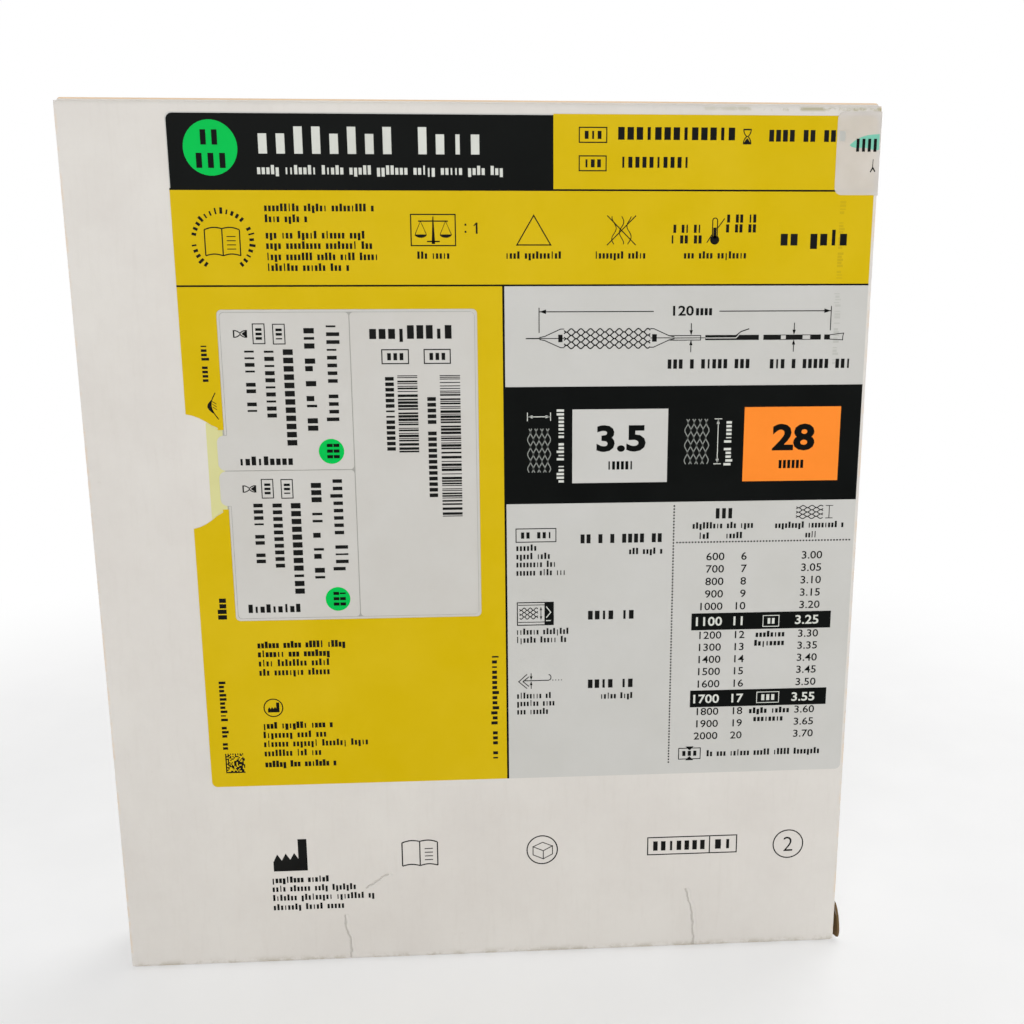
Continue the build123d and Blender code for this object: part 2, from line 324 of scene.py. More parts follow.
def colourFields():
    f = fields
    low, high, side, c = f["low"], f["high"], f["side"], f["corner"]
    piece, rim = "labelFields", f["rim"]
    field = lambda ink, box, radii=(0, 0, 0, 0): ribbon((piece, ink, low, high), *roundField(*box, radii))
    field("black", (0.25, 0.3, f["headerSplit"], f["headerFoot"]), (c, 0, 0, 0))
    field("yellow", (f["headerSplit"], 0, side, f["headerFoot"]), (0, c, 0, 0))
    field("black", (0, f["headerFoot"], side, f["bandTop"]))
    field("yellow", (0, f["bandTop"], side, f["bandFoot"]))
    field("black", (0, f["bandFoot"], side, f["ruleFoot"]))
    field("black", (f["columnSplit"], f["ruleFoot"], f["columnStart"], side))
    field("black", (f["columnStart"], f["blackTop"], side, f["blackFoot"]))
    u0, v0, u1, v1 = f["window"]
    field("yellow", (0, f["ruleFoot"], f["columnSplit"], v0 - rim))
    field("yellow", (u1 + rim, v0 - rim, f["columnSplit"], v1 + rim))
    field("yellow", (0, v1 + rim, f["columnSplit"], side), (0, 0, 0, c))
    # round the window, from the notch's upper side clockwise to its lower side: a rounded and a square path
    # paired point by point
    top, foot, r = f["notch"][0] + 4.1, f["notch"][1] - 5.0, f["windowCorner"]
    corners = [(u0, v0, 180, 1, 1), (u1, v0, 270, -1, 1), (u1, v1, 0, -1, -1), (u0, v1, 90, 1, -1)]
    inner, outer = [np.array([[u0, top]])], [np.array([[u0 - rim, top]])]
    apart = np.linspace(-1e-3, 1e-3, 7)[:, None]  # keeps the square path's corner points apart
    for cu, cv, start, du, dv in corners:
        t = np.radians(start + np.linspace(0, 90, 7))
        inner.append(columns(cu + du * r + r * np.cos(t), cv + dv * r + r * np.sin(t)))
        outer.append(np.tile([[cu - rim * du, cv - rim * dv]], (7, 1)) + apart)
    inner.append(np.array([[u0, foot]]))
    outer.append(np.array([[u0 - rim, foot]]))
    ribbon((piece, "yellow", low, high), np.concatenate(outer), np.concatenate(inner))
    # left of the window, cut by the thumb notch's S-shaped sides: a smooth step of the distance from the
    # label's edge
    s = np.linspace(0, 1, 25)
    across = s * (u0 - rim)
    share = across / (u0 + f["notchLap"])
    bend = np.interp(share, [0, 0.16, 0.32, 0.48, 0.63, 0.8, 1.0], [0, 0.085, 0.23, 0.44, 0.68, 0.875, 1.0])
    upper = columns(across, f["notch"][0] + bend * 4.17)
    lower = columns(across, f["notch"][1] - bend * 5.0)
    ribbon((piece, "yellow", low, high), columns(across, v0 - rim), upper)
    ribbon((piece, "yellow", low, high), lower, columns(across, v1 + rim))
    finishPiece(piece)


colourFields()
print("colour fields done")

# Rear and front face of each layer of print, for pens
onLabel = (0.09, 0.130)
onField = (0.10, 0.145)
onSticker = (0.15, 0.185)
onBoard = (-0.03, 0.020)
onWrap = (0.17, 0.205)


def boxWithMarks(pen, box, words=(3,), width=0.28, height=1.75, turned=0):
    # a lined box with a word of blocks inside
    u0, v0, u1, v1 = box
    frameLine(pen, u0, v0, u1, v1, width)
    if turned == 0:
        wordMarks(pen, u0 + 1.1, (v0 + v1) / 2 + height * 0.5, u1 - u0 - 2.0, height, words=words, tall=1,
            bold=0.1)
    else:
        wordMarks(pen, (u0 + u1) / 2 - height * 0.5, v0 + 0.9, v1 - v0 - 1.6, height, turned=1, words=words,
            tall=1, bold=0.1)


def hourglass(pen, box, lying=False):
    # two curved bowls meeting at the neck, between two end plates
    u0, v0, u1, v1 = box
    a0, a1, c = (u0, u1, (v0 + v1) / 2) if lying else (v0, v1, (u0 + u1) / 2)
    full, h = (v1 - v0, u1 - u0) if lying else (u1 - u0, v1 - v0)
    turned = lambda across, along: np.stack([along, across] if lying else [across, along], -1)
    t = np.linspace(0, 1, 21)
    half = full / 2 * (0.12 + 0.75 * np.abs(np.cos(math.pi * t)) ** 0.8)
    along = a0 + 0.10 * h + 0.80 * h * t
    stroke(pen, turned(c - half, along), 0.26)
    stroke(pen, turned(c + half, along), 0.26)
    for low, high in ((a0, a0 + 0.10 * h), (a1 - 0.12 * h, a1)):
        ribbon(pen, turned(np.full(2, c - full / 2), np.array([low, high])),
            turned(np.full(2, c + full / 2), np.array([low, high])))
    sand = t > 0.62
    inner = full / 2 * 0.8 * (t[sand] - 0.6) / 0.4
    ribbon(pen, turned(c - inner, along[sand]), turned(c + inner, along[sand]))


def openBook(pen, box, width=0.30):
    # two pages, each with a shallow arch along its top and foot, over a spine
    u0, v0, u1, v1 = box
    c, rise = (u0 + u1) / 2, 0.06 * (v1 - v0)
    t = np.linspace(0, 1, 13)
    arch = rise * np.sin(math.pi * t)
    for end in (u0, u1):
        u = c + (end - c) * t
        topEdge = columns(u, v0 + rise * 1.4 - arch - rise * 0.6 * (1 - t))
        footEdge = columns(u, v1 - arch)
        stroke(pen, topEdge, width)
        stroke(pen, footEdge, width)
        stroke(pen, [topEdge[-1], footEdge[-1]], width)
    stroke(pen, [(c, v0 + rise), (c, v1)], width)


def pageLines(pen, box, rows=4, width=0.22):
    # even lines of print on a page
    u0, v0, u1, v1 = box
    v = np.linspace(v0, v1, rows)
    u = np.full(rows, u1)
    rects(pen, columns(u0, v, u, v + width))


def arrowHead(pen, u, v, du, dv, size):
    # a slim triangle from its tip back along (du, dv)
    side = np.array([-dv, du]) * size * 0.33
    tip, back = np.array([u, v]), np.array([u, v]) - np.array([du, dv]) * size
    ribbon(pen, [tip + side * 0.02, back + side], [tip - side * 0.02, back - side])


def wireMesh(pen, box, rows, waves, width, upright=False):
    # a tube's wire net: rows of sine waves, every second one half a wave later
    u0, v0, u1, v1 = box
    across, along = ((u0, u1), (v0, v1)) if upright else ((v0, v1), (u0, u1))
    pitch, reach = (across[1] - across[0]) / rows, 0.5 if upright else 0.52
    t = np.linspace(0, 1, waves * 10 + 1)
    for row in range(rows):
        swing = np.sin(2 * math.pi * waves * t + math.pi * (row % 2))
        wave = across[0] + pitch * (row + 0.5) + pitch * reach * swing
        line = along[0] + (along[1] - along[0]) * t
        stroke(pen, columns(wave, line) if upright else columns(line, wave), width)


def bars(pen, box, modules, seed):
    # upright code of even modules, 1 to 4 wide, drawn across the box and stepped down it
    local = np.random.default_rng(seed)
    widths = np.where(np.arange(modules) % 2 == 0, local.choice([1, 1, 2, 2, 3], size=modules),
        local.choice([1, 1, 1, 2, 3], size=modules))
    edges = np.concatenate([[0], np.cumsum(widths)])
    edges = edges[edges <= modules]
    edges = edges[:len(edges) // 2 * 2]
    u0, v0, u1, v1 = box
    edges = v0 + (v1 - v0) * edges / edges[-1]
    rects(pen, columns(u0, edges[0::2], u1, edges[1::2]))


def dotsMatrix(pen, box, cells, seed):
    # random square cells with a solid left and lower border
    local = np.random.default_rng(seed)
    on = local.random((cells, cells)) < 0.5
    on[:, 0] = on[-1, :] = True
    on[0, :] = np.arange(cells) % 2 == 0
    row, column = np.nonzero(on)
    u0, v0, u1, v1 = box
    du, dv = (u1 - u0) / cells, (v1 - v0) / cells
    rects(pen, columns(u0 + column * du, v0 + row * dv, u0 + (column + 1) * du, v0 + (row + 1) * dv))


def factory(pen, box):
    # a zigzag roof and a square chimney
    u0, v0, u1, v1 = box
    w, h = u1 - u0, v1 - v0
    roof = np.array([(0, 0.70), (0.12, 0.46), (0.25, 0.66), (0.37, 0.44), (0.50, 0.64), (0.62, 0.43),
        (0.74, 0.62)]) * (w, h) + (u0, v0)
    ribbon(pen, roof, columns(roof[:, 0], v1))
    rects(pen, [[u0 + 0.739 * w, v0, u1, v1]])


header = {
    "titleBase": 9.6, "titleHeight": 6.3, "disc": (10.4, 8.3, 6.5),
    "boxes": [(100.1, 3.1, 106.9, 6.6), (100.1, 9.8, 106.8, 13.3)],
    "lines": [(109.5, 5.95, 29.9, 3.0, 0.6, (13,)), (110.3, 12.55, 17.6, 2.6, 0.0, (10,)),
        (147.4, 6.2, 17.4, 2.8, 0.6, (4, 2, 2))],
}


def headerPrint():
    # green disc, two title lines on black, and the coded lines on yellow
    labelPen, thin = ("headerPrint", "reversed", *onField), ("headerPrint", "fineBlack", *onLabel)
    discPen = ("headerPrint", "black", 0.11, 0.16)
    disc(("headerPrint", "green", *onField), *header["disc"])
    wordMarks(discPen, 7.6, 7.6, 5.4, 3.5, words=(2,), bold=-0.4, tall=1.0)
    wordMarks(discPen, 6.3, 13.0, 8.4, 3.5, words=(3,), bold=-0.4, tall=1.0)
    wordMarks(labelPen, 21.0, header["titleBase"], 55.8, header["titleHeight"], words=(8, 4), bold=-0.5,
        tall=0.34)
    wordMarks(labelPen, 21.2, 14.4, 60.2, 2.15, seed=3)
    for box in header["boxes"]:
        boxWithMarks(thin, box, words=(3,), height=1.9)
    for u, v, length, height, bold, words in header["lines"]:
        wordMarks(thin, u, v, length, height, bold=bold, words=words, tall=1)
    hourglass(thin, (141.0, 3.2, 143.1, 6.9))
    finishPiece("headerPrint")


headerPrint()

band = {
    "lines": [(22.4, 23.1, 27.0), (22.4, 25.7, 10.6), (22.4, 29.6, 24.5), (22.4, 32.1, 26.3),
        (22.4, 34.8, 27.6), (22.4, 37.4, 20.4)],
    "captions": [(59.5, 34.5, 8.3), (81.6, 34.5, 14.2), (104.1, 34.5, 13.1), (126.7, 34.5, 16.3)],
    "ring": (12.0, 30.2, 6.5, 8.0), "ringFrom": 128.0, "ringTo": 412.0,
}


def ringOfMarks(pen, cu, cv, inner, outer, start, end, count, seed):
    # plain blocks standing on a circle, turned with it, in three groups
    local = np.random.default_rng(seed)
    keep = np.ones(count, bool)
    keep[[count // 5, count - count // 3]] = False
    angle = np.radians(np.linspace(start, end, count))[keep]
    high = inner + (outer - inner) * np.where(local.random(len(angle)) < 0.3, 1.0, 0.75)
    half = np.where(local.random(len(angle)) < 0.2, 0.2, 0.33)
    radial = columns(np.cos(angle), np.sin(angle))
    side = columns(-np.sin(angle), np.cos(angle))
    centre = np.array([cu, cv])
    low, top = centre + radial * inner, centre + radial * high[:, None]
    corners = np.stack([low - side * half[:, None], low + side * half[:, None], top + side * half[:, None],
        top - side * half[:, None]], 1)
    prisms(pen, corners)


def bandPrint():
    # ring of marks round a book, lines of print, and four small symbols with captions
    pen = ("bandPrint", "fineBlack", *onLabel)
    ringOfMarks(pen, *band["ring"], band["ringFrom"], band["ringTo"], 27, 9)
    openBook(pen, (7.7, 26.9, 16.2, 33.7))
    pageLines(pen, (13.0, 29.0, 15.2, 32.0), rows=4)
    for number, (u, v, length) in enumerate(band["lines"]):
        wordMarks(pen, u, v, length, 1.85, bold=0.35, seed=20 + number)
    for number, (u, v, length) in enumerate(band["captions"]):
        wordMarks(pen, u, v, length, 1.8, bold=0.2, seed=40 + number)
    # balance: a beam on a post, with a pan hung from each end
    frameLine(pen, 58.2, 23.8, 69.2, 31.3, 0.3)
    c = 63.7
    ribbon(pen, [(c - 0.12, 24.3), (c - 0.42, 30.9)], [(c + 0.12, 24.3), (c + 0.42, 30.9)])
    stroke(pen, [(c - 3.7, 25.4), (c + 3.7, 25.4)], 0.3)
    stroke(pen, [(c - 1.6, 30.3), (c + 1.6, 30.3)], 0.34)
    for side, top in ((-3.1, 25.4), (3.1, 25.4)):
        stroke(pen, [(c + side - 1.4, top + 3.2), (c + side, top), (c + side + 1.4, top + 3.2)], 0.16)
        t = np.linspace(0, math.pi, 11)
        ribbon(pen, columns(c + side - 1.5 * np.cos(t), top + 3.2), columns(c + side - 1.5 * np.cos(t),
            top + 3.21 + 0.8 * np.sin(t)))
    rects(pen, [[71.5, 26.0, 71.95, 26.5], [71.5, 27.7, 71.95, 28.2]])
    numberMarks(pen, "1", 74.5, 28.4, 2.7, bold=0.01)
    stroke(pen, [(73.8, 26.5), (74.45, 25.9)], 0.3)
    stroke(pen, [(88.75, 24.0), (93.0, 31.15), (84.5, 31.15)], 0.3, closed=True)
    # crossed lines with two wavy ones between
    t = np.linspace(0, 1, 25)
    stroke(pen, [(107.2, 24.0), (114.5, 31.2)], 0.26)
    stroke(pen, [(114.5, 24.0), (107.2, 31.2)], 0.26)
    for shift in (-1.9, 0.0, 1.9):
        stroke(pen, columns(110.85 + shift + 0.55 * np.sin(2 * math.pi * t * 1.3 + shift), 24.2 + 6.8 * t),
            0.22)
    # thermometer: a tube with a bulb, and a mark on each side
    tube = np.concatenate([circle(134.6, 25.2, 0.62, 9, math.pi, math.pi, False),
        circle(134.6, 29.9, 1.05, 15, -0.95, 5.04, False)])
    stroke(pen, tube, 0.26, closed=True)
    disc(pen, 134.6, 29.9, 1.0)
    rects(pen, [[134.2, 26.9, 135.0, 29.6]])
    stroke(pen, [(132.6, 30.6), (133.9, 28.6)], 0.24)
    stroke(pen, [(135.4, 26.9), (137.0, 24.7)], 0.24)
    for u, v, length in ((123.9, 28.2, 7.3), (123.3, 30.8, 8.2), (137.5, 25.7, 7.8), (137.3, 28.1, 8.0)):
        wordMarks(pen, u, v, length, 2.0, words=(1, 2, 2), bold=0.5, tall=1)
    wordMarks(pen, 151.3, 31.3, 17.9, 3.9, words=(2, 4), bold=0.6, seed=3)
    finishPiece("bandPrint")


bandPrint()


drawing = {"axis": 54.3, "net": (96.4, 51.9, 118.6, 56.9), "arrows": (129.2, 156.1), "span": (90.0, 165.6),
    "spanV": 47.5}


def sizeDrawing():
    # line figure: a tube of wire net on its carrier, with measure lines and arrows
    pen, d = ("sizeDrawing", "fineBlack", *onLabel), drawing
    a = d["axis"]
    left, right = d["span"]
    rects(pen, [[left, d["spanV"], 119.4, d["spanV"] + 0.24], [136.4, d["spanV"], right,
        d["spanV"] + 0.24]])
    rects(pen, [[left - 0.1, 46.6, left + 0.12, 52.9], [right - 0.1, 46.4, right + 0.12, 52.6]])
    arrowHead(pen, left + 0.1, d["spanV"] + 0.11, -1, 0, 1.7)
    arrowHead(pen, right - 0.1, d["spanV"] + 0.11, 1, 0, 1.7)
    numberMarks(pen, "120", 126.7, 48.65, 2.4, bold=0.022, wide=1.2)
    wordMarks(pen, 130.2, 48.65, 4.5, 1.8, words=(4,), bold=0.5, tall=1)
    # the tube of wire net on its balloon, with a marker at each end
    wireMesh(pen, d["net"], 6, 9, 0.30)
    u0, v0, u1, v1 = d["net"]
    for u, slope in ((u0, -1), (u1, 1)):
        for side in (-1, 1):
            path = [(u, a + side * 2.35), (u + slope * 0.9, a + side * 2.35),
                (u + slope * 5.0, a + side * 0.5), (u + slope * 6.3, a + side * 0.25)]
            stroke(pen, path, 0.22)
    rects(pen, [[86.6, a - 0.14, 90.4, a + 0.14], [90.4, a - 0.1, u0, a + 0.1],
        [u1, a - 0.1, 123.6, a + 0.1]])
    rects(pen, [[94.9, a - 0.95, 96.0, a + 0.95], [119.1, a - 0.95, 120.3, a + 0.95]])
    rects(pen, [[123.6, a - 0.65, 131.7, a - 0.45], [123.6, a - 0.05, 132.8, a + 0.15],
        [123.6, a + 0.5, 131.7, a + 0.7], [131.6, a - 0.65, 131.8, a + 0.7]])
    rects(pen, [[132.9, a - 0.65, 146.9, a + 0.65], [148.1, a - 0.65, 152.7, a + 0.65],
        [154.0, a - 0.65, 158.4, a + 0.65], [160.4, a - 0.65, 163.2, a + 0.65],
        [164.1, a - 0.65, 165.6, a + 0.65]])
    for u, side in ((152.6, -1), (152.6, 1), (158.3, -1), (158.3, 1)):
        rects(pen, [[u, a + side * 0.58 - 0.08, u + 2.2, a + side * 0.58 + 0.08]])
    stroke(("sizeDrawing", "white", 0.12, 0.145), [(133.0, a + 0.1), (140.9, a + 0.1), (141.6, a - 0.6)],
        0.22)
    stroke(pen, [(140.9, a - 0.5), (142.2, a - 1.5), (144.3, a - 2.2)], 0.26)
    stroke(pen, [(165.6, a - 0.55), (169.2, a - 1.0), (169.0, a - 0.2), (169.0, a + 0.75),
        (165.6, a + 0.55)], 0.2)
    for u in d["arrows"]:
        rects(pen, [[u - 0.1, 50.6, u + 0.12, 53.2], [u - 0.1, 55.4, u + 0.12, 58.0]])
        arrowHead(pen, u, 53.7, 0, 1, 1.3)
        arrowHead(pen, u, 54.9, 0, -1, 1.3)
    wordMarks(pen, 123.1, 62.2, 21.9, 2.4, words=(3, 1, 5, 3), bold=0.4, tall=1)
    wordMarks(pen, 149.9, 62.3, 21.7, 2.4, words=(3, 1, 5, 3), bold=0.4, tall=1, seed=4)
    finishPiece("sizeDrawing")


sizeDrawing()

sizes = {
    "white": (98.6, 72.5, 123.7, 91.9), "orange": (143.9, 72.3, 169.6, 92.0),
    "first": ("3.5", 111.4, 83.3, 6.4), "second": ("28", 157.2, 83.5, 6.5),
}


def sizeBoxes():
    # two coloured boxes with numbers, each beside a net with its measure
    piece = "sizeBoxes"
    low, high = fields["high"] - 0.01, 0.135
    rects((piece, "white", low, high), [sizes["white"]])
    rects((piece, "orange", low, high), [sizes["orange"]])
    heavyPen = (piece, "black", low, 0.155)
    for text, u, v, height in (sizes["first"], sizes["second"]):
        numberMarks(heavyPen, text, u, v, height, bold=0.034, wide=1.22)
    wordMarks(heavyPen, 107.8, 88.4, 7.0, 2.2, words=(6,), bold=0.4, tall=1)
    wordMarks(heavyPen, 153.4, 88.6, 7.0, 2.2, words=(6,), bold=0.4, tall=1)
    net, white = (piece, "paleGrey", *onField), (piece, "reversed", *onField)
    wireMesh(net, (86.9, 77.4, 92.9, 88.9), 8, 3, 0.26, upright=True)
    wireMesh(net, (128.2, 75.3, 134.6, 87.2), 8, 3, 0.26, upright=True)
    rects(white, [[86.9, 74.2, 92.9, 74.42], [86.8, 73.2, 87.0, 75.4], [92.8, 73.2, 93.0, 75.4]])
    rects(white, [[136.9, 75.3, 137.1, 87.2], [136.0, 75.2, 138.0, 75.4], [136.0, 87.1, 138.0, 87.3]])
    for u, v, du, dv in ((87.0, 74.31, -1, 0), (92.8, 74.31, 1, 0), (137.0, 75.4, 0, -1),
            (137.0, 87.1, 0, 1)):
        arrowHead(white, u, v, du, dv, 1.2)
    wordMarks(white, 96.4, 91.8, 19.6, 1.9, turned=-1, words=(5, 5, 8), bold=0.2)
    wordMarks(white, 140.6, 87.8, 12.1, 1.9, turned=-1, words=(5, 6), bold=0.2)
    finishPiece(piece)


sizeBoxes()


rows = np.array([112.4, 115.85, 119.35, 122.85, 126.35, 130.6, 134.55, 138.0, 141.5, 145.0, 148.6, 152.95,
    156.7, 160.3, 163.9])
tableData = {
    "bars": [(131.3, 128.3, 169.9, 133.1), (131.5, 150.5, 169.8, 155.4)], "barRows": (5, 11),
    "columns": (139.9, 146.0, 166.7), "leans": (-0.3, 0.45, 0.0), "height": 2.1, "barHeight": 2.45,
}


def sizeTable():
    # three columns of plain numbers, two rows on black bars
    piece, t = "sizeTable", tableData
    pen, white = (piece, "fineBlack", *onLabel), (piece, "reversed", 0.11, 0.145)
    for box in t["bars"]:
        ribbon((piece, "black", fields["low"], 0.125), *roundField(*box, (0, 0, 0, 0)))
    drift = (rows - rows[0]) / (rows[-1] - rows[0])
    for number, v in enumerate(rows):
        inBar = number in t["barRows"]
        height = t["barHeight"] if inBar else t["height"]
        digits = white if inBar else pen
        base = v + height / 2
        weight = 0.018 if inBar else 0.008
        texts = str(600 + 100 * number), str(number + 6), f"{3 + 0.05 * number:.2f}"
        for text, u, lean in zip(texts, t["columns"], t["leans"]):
            numberMarks(digits, text, u + lean * drift[number], base, height, "RIGHT", weight, 1.14)
    boxWithMarks(white, (151.1, 129.3, 155.5, 132.4), words=(2,), height=1.6, width=0.2)
    boxWithMarks(white, (150.2, 151.4, 156.4, 154.5), words=(3,), height=1.7, width=0.2)
    for u, v, length in ((149.1, 135.4, 8.3), (148.8, 137.9, 8.6), (148.1, 157.6, 11.6),
            (149.4, 160.0, 8.6)):
        wordMarks(pen, u, v, length, 1.7, bold=0.5, words=(8,) if length < 11 else (5, 5), seed=int(v))
    # dotted rules
    v = np.arange(98.2, 171.4, 0.84)
    rects(pen, columns(125.66, v, 126.06, v + 0.44))
    u = np.arange(126.6, 174.0, 0.84)
    rects(pen, columns(u, 108.20, u + 0.44, 108.60))
    rects(pen, [[137.1 + 1.7 * k, 99.2, 138.1 + 1.7 * k, 102.0] for k in range(3)])
    for u, v, length in ((130.8, 104.7, 16.7), (132.6, 107.5, 3.0), (139.9, 107.5, 4.7),
            (153.2, 104.9, 19.0), (161.6, 107.6, 3.2)):
        wordMarks(pen, u, v, length, 1.75, bold=0.25, seed=7)
    wireMesh(pen, (158.9, 98.8, 166.2, 102.4), 6, 3, 0.24)
    rects(pen, [[167.8, 98.9, 168.0, 102.3], [166.9, 98.8, 168.9, 98.98], [166.9, 102.2, 168.9, 102.4]])
    # box with two wedges, at the foot
    frameLine(pen, 128.7, 167.5, 134.8, 170.7, 0.24)
    prisms(pen, [[(130.6, 167.0), (132.9, 167.0), (131.85, 168.1), (131.65, 168.1)],
        [(131.65, 170.0), (131.85, 170.0), (132.9, 171.1), (130.6, 171.1)]])
    wordMarks(pen, 129.5, 169.8, 4.6, 1.5, words=(3,), bold=0.0, tall=1)
    wordMarks(pen, 136.5, 170.1, 32.4, 1.85, words=(2, 3, 6, 5, 5, 8), bold=0.25)
    finishPiece(piece)


sizeTable()


middle = [
    (83.6, 110.0, 5.7, 0), (83.6, 112.3, 9.3, 0), (83.6, 114.5, 10.8, 0), (83.6, 116.8, 13.4, 0),
    (113.8, 111.4, 9.3, 0.2),
    (83.5, 133.3, 14.4, 0), (83.5, 135.6, 13.8, 0), (83.5, 151.6, 9.6, 0), (83.5, 153.8, 10.6, 0),
    (83.5, 156.2, 8.8, 0), (106.5, 152.2, 9.1, 0.2),
]
values = [(100.7, 108.2, 22.3, (2, 1, 1, 4, 2)), (102.8, 129.4, 13.0, (4, 2)), (102.9, 149.0, 12.9, (4, 2))]
leftLines = [
    (14.4, 135.5, 23.4, 1.0), (14.4, 138.0, 19.2, 1.0), (14.4, 140.6, 19.0, 0.2), (14.4, 143.2, 19.0, 0.2),
    (14.6, 158.4, 18.9, 1.0),
    (14.5, 161.1, 17.2, 0.2), (14.5, 163.7, 28.4, 0.2), (14.5, 166.4, 15.6, 0.2), (14.6, 169.6, 19.4, 1.0),
]


def lowerPrint():
    # lines of print and symbols in the label's lower fields
    piece = "lowerPrint"
    pen, white = (piece, "fineBlack", *onLabel), (piece, "reversed", 0.11, 0.145)
    for number, (u, v, length, bold) in enumerate(middle):
        wordMarks(pen, u, v, length, 1.75, bold=bold, seed=60 + number)
    for u, v, length, words in values:
        wordMarks(pen, u, v, length, 2.45, bold=0.5, words=words, tall=1)
    for number, (u, v, length, bold) in enumerate(leftLines):
        wordMarks(pen, u, v, length, 1.9, bold=bold, seed=80 + number)
    boxWithMarks(pen, (83.7, 104.0, 94.3, 107.6), words=(2, 3), height=1.7, width=0.24)
    # a net between two plates, beside a bar with two wedges
    frameLine(pen, 83.9, 124.3, 93.6, 130.6, 0.26)
    wireMesh(pen, (84.5, 125.8, 89.4, 128.9), 5, 3, 0.24)
    rects(pen, [[90.15, 125.9, 90.35, 128.8], [84.1, 124.9, 91.2, 125.1], [84.1, 129.7, 91.2, 129.9]])
    arrowHead(pen, 90.25, 125.5, 0, -1, 1.0)
    arrowHead(pen, 90.25, 129.2, 0, 1, 1.0)
    rects((piece, "black", 0.09, 0.125), [[91.2, 124.3, 93.6, 130.6]])
    stroke(white, [(91.7, 125.5), (92.9, 127.1), (91.7, 128.6)], 0.26)
    rects(white, [[91.6, 129.3, 92.9, 129.55]])
    # a wire leaving a tapered tip
    stroke(pen, [(86.4, 144.6), (84.1, 146.7), (86.4, 148.7)], 0.24)
    stroke(pen, [(86.9, 145.3), (85.3, 146.7), (86.9, 148.1)], 0.24)
    hook = circle(92.1, 145.6, 0.85, 11, math.pi / 2, -2.9, False)
    stroke(pen, np.concatenate([[(85.3, 146.45)], hook]), 0.24)
    rects(pen, [[u, 146.3, u + 0.28, 146.55] for u in (93.3, 94.1, 94.9, 95.7)])
    rects(pen, [[87.4, 144.3, 87.62, 145.4], [87.4, 147.5, 87.62, 148.8]])
    arrowHead(pen, 87.51, 146.3, 0, 1, 1.1)
    arrowHead(pen, 87.51, 146.6, 0, -1, 1.1)
    stroke(pen, circle(17.7, 152.4, 2.5, 36), 0.3, closed=True)
    factory(pen, (16.2, 150.9, 19.3, 153.7))
    wordMarks(pen, 5.2, 121.4, 6.1, 2.4, turned=1, bold=1.0, words=(4,))
    wordMarks(pen, 3.6, 144.4, 20.0, 1.8, turned=1, bold=0.2, words=(10, 3, 2))
    wordMarks(pen, 76.9, 138.7, 30.8, 1.8, turned=1, bold=0.2, words=(14, 3, 2))
    dotsMatrix(pen, (4.0, 165.3, 9.2, 171.0), 16, 12)
    # the pull mark beside the notch: a line of small print and a thumb's outline
    wordMarks(pen, 4.9, 55.3, 9.6, 1.9, turned=1, bold=0.2, words=(4, 4))
    t = np.linspace(0, 1, 17)
    edge = columns(7.75 - 1.45 * np.sin(math.pi * t) + 0.5 * t, 67.4 + 6.8 * t)
    stroke(pen, edge, 0.24)
    inner = edge[4:14]
    swell = np.sin(math.pi * np.linspace(0, 1, len(inner)))[:, None] * np.array([[-1.0, 0.0]])
    ribbon(pen, inner + swell, inner)
    for lift0 in (69.6, 70.3, 71.0):
        stroke(pen, [(6.9, lift0), (7.9, lift0 + 0.7)], 0.16)
    for number, (v, length, tint) in enumerate(((20.3, 3.4, "ghostYellow"), (25.4, 3.0, "ghostYellow"),
            (29.2, 10.6, "ghostYellow"), (43.0, 8.2, "ghostWhite"), (52.0, 9.4, "ghostWhite"))):
        wordMarks((piece, tint, 0.09, 0.12), 166.5, v, length, 1.5, turned=1, bold=1.0, tall=0.5,
            seed=number)
    finishPiece(piece)


lowerPrint()
print("label print done")


# Stickers in the label's window

record = {"title": (46.8, 54.2, 21.4, 3.4), "boxes": [(50.0, 56.9, 56.7, 60.4), (60.7, 56.9, 67.3, 60.4)],
    "barsA": (53.7, 63.4, 58.8, 83.2), "barsB": (64.5, 63.4, 69.7, 100.3)}


def recordPrint():
    # title, two boxes and two codes read upright
    pen = ("recordPrint", "fineBlack", *onSticker)
    u, v, length, height = record["title"]
    wordMarks(pen, u, v, length, height, words=(9,), bold=0.7, tall=0.4, seed=1)
    for box in record["boxes"]:
        boxWithMarks(pen, box, words=(3,), height=1.8)
    bars(pen, record["barsA"], 90, 21)
    bars(pen, record["barsB"], 168, 34)
    wordMarks(pen, 50.6, 63.6, 19.4, 2.2, turned=1, bold=0.4, words=(14,), tall=1)
    wordMarks(pen, 61.2, 68.8, 26.6, 2.2, turned=1, bold=0.4, words=(5, 12), tall=1)
    finishPiece("recordPrint")


